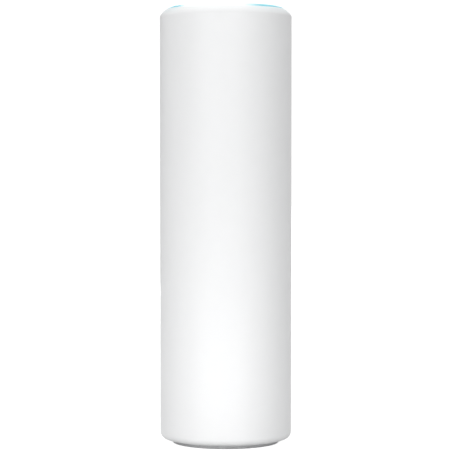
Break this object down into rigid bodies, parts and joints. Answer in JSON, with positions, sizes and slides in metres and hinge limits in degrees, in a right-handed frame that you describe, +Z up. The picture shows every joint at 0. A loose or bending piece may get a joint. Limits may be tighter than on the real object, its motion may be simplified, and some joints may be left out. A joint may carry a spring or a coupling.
{
  "type": "mesh wifi node",
  "caption": "Upright cylindrical mesh wifi node with a light ring round its top cap, a rubber foot, and a well underneath for the network plug, with a sprung reset button.",
  "frame": {"origin": "centre of the foot's resting face, at the bottom centre of the bounding box", "axes": "+Z up along the tube's axis, -Y the front, +Y the back, where the network cable leaves"},
  "size_m": [0.048, 0.048, 0.159],
  "materials": {
    "nickel": "nickel plated, stamped",
    "ivory_plastic": "moulded matte",
    "coax_jacket": "smooth jacket",
    "base_plastic": "moulded matte",
    "screw_steel": "zinc plated",
    "sleeve": "shrunk sleeve",
    "black_plastic": "moulded matte",
    "grey_rubber": "matte",
    "aluminium": "extruded, plain",
    "gold": "gold plated",
    "light_package": "small moulded package",
    "solder_mask": "green solder mask",
    "ribbon": "flat flexible lead",
    "diffuser": "translucent opal, lit from behind",
    "tinned_steel": "tinned",
    "white_plastic": "fine moulded matte",
    "black_rubber": "matte",
    "ferrite": "sintered, matte",
    "pad_silicone": "soft, matte"
  },
  "bodies": {
    "node_body": {"antenna_back": "nickel", "antenna_carrier": "ivory_plastic", "antenna_front": "nickel", "antenna_lead_back": "coax_jacket", "antenna_lead_front": "coax_jacket", "antenna_lead_left": "coax_jacket", "antenna_lead_right": "coax_jacket", "antenna_left": "nickel", "antenna_right": "nickel", "base_housing": "base_plastic", "base_screw_1": "screw_steel", "base_screw_2": "screw_steel", "base_screw_3": "screw_steel", "base_screw_4": "screw_steel", "capacitor_left": "sleeve", "capacitor_right": "sleeve", "chassis_frame": "black_plastic", "chassis_screw_left": "screw_steel", "chassis_screw_right": "screw_steel", "foot_ring": "grey_rubber", "heat_sink": "aluminium", "heat_sink_screw_1": "screw_steel", "heat_sink_screw_2": "screw_steel", "heat_sink_screw_3": "screw_steel", "heat_sink_screw_4": "screw_steel", "jack_contacts": "gold", "lantern_screw_1": "screw_steel", "lantern_screw_2": "screw_steel", "light_1": "light_package", "light_2": "light_package", "light_3": "light_package", "light_4": "light_package", "light_5": "light_package", "light_6": "light_package", "light_7": "light_package", "light_8": "light_package", "light_board": "solder_mask", "light_ribbon": "ribbon", "light_ring": "diffuser", "main_board": "solder_mask", "network_jack": "tinned_steel", "outer_shell": "white_plastic", "port_gasket": "black_rubber", "power_inductor": "ferrite", "power_transformer": "ferrite", "processor_pad": "pad_silicone", "processor_shield": "tinned_steel", "radio_pad": "pad_silicone", "radio_shield_left": "tinned_steel", "radio_shield_right": "tinned_steel", "reset_switch": "black_plastic", "ribbon_connector": "ivory_plastic", "ring_gasket": "black_rubber", "top_cap": "white_plastic"},
    "reset_plunger": {"reset_button": "black_plastic", "reset_switch_stem": "ivory_plastic"}
  },
  "joints": [
    {"name": "reset_press", "type": "slide", "parent": "node_body", "child": "reset_plunger", "axis": [0, 0, 1], "range_m": [0, 0.0005], "stiffness_N_per_m": 1500, "springref_m": -0.0003}
  ]
}
